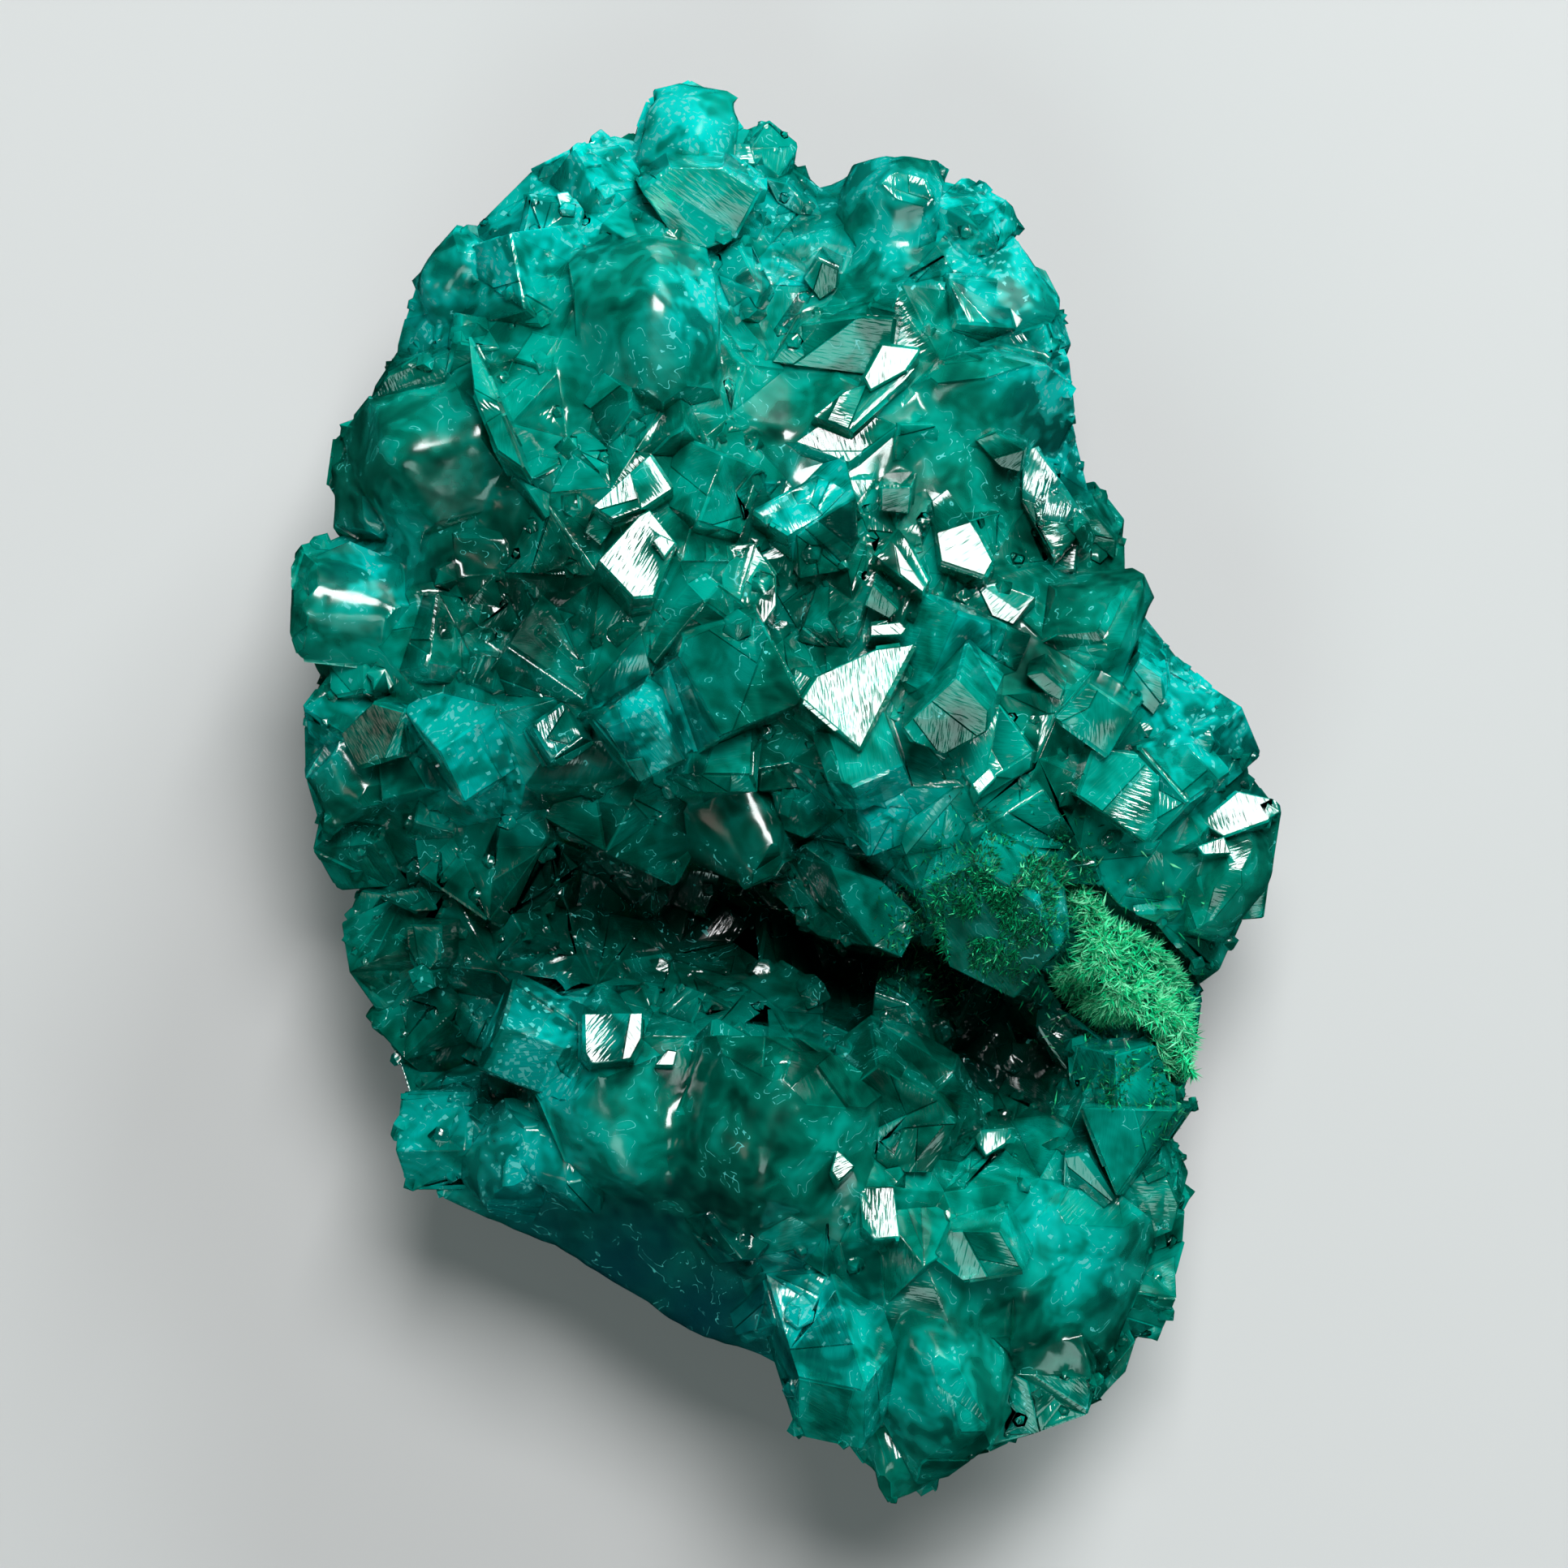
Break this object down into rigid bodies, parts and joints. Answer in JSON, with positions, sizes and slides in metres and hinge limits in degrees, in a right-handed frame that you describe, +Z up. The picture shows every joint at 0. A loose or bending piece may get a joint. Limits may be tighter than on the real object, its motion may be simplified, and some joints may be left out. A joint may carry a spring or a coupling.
{
  "type": "dioptase crystal cluster",
  "caption": "Loose hand specimen of dioptase: fused, stubby emerald-green crystals with a crust of fine green needles in a hollow.",
  "frame": {"origin": "middle of the bounding box, on the plane that the flat cut back rests on", "axes": "+Z up from the cut back through the crystals, +Y along the longest extent towards the round knob, +X across"},
  "size_m": [0.0314, 0.0454, 0.0182],
  "materials": {
    "dioptase": "translucent emerald to teal green crystal, glassy flat faces",
    "needle_mineral": "pale yellow-green silky needles"
  },
  "bodies": {
    "root": {"dioptase_cluster": "dioptase", "needle_crust": "needle_mineral"}
  },
  "joints": []
}
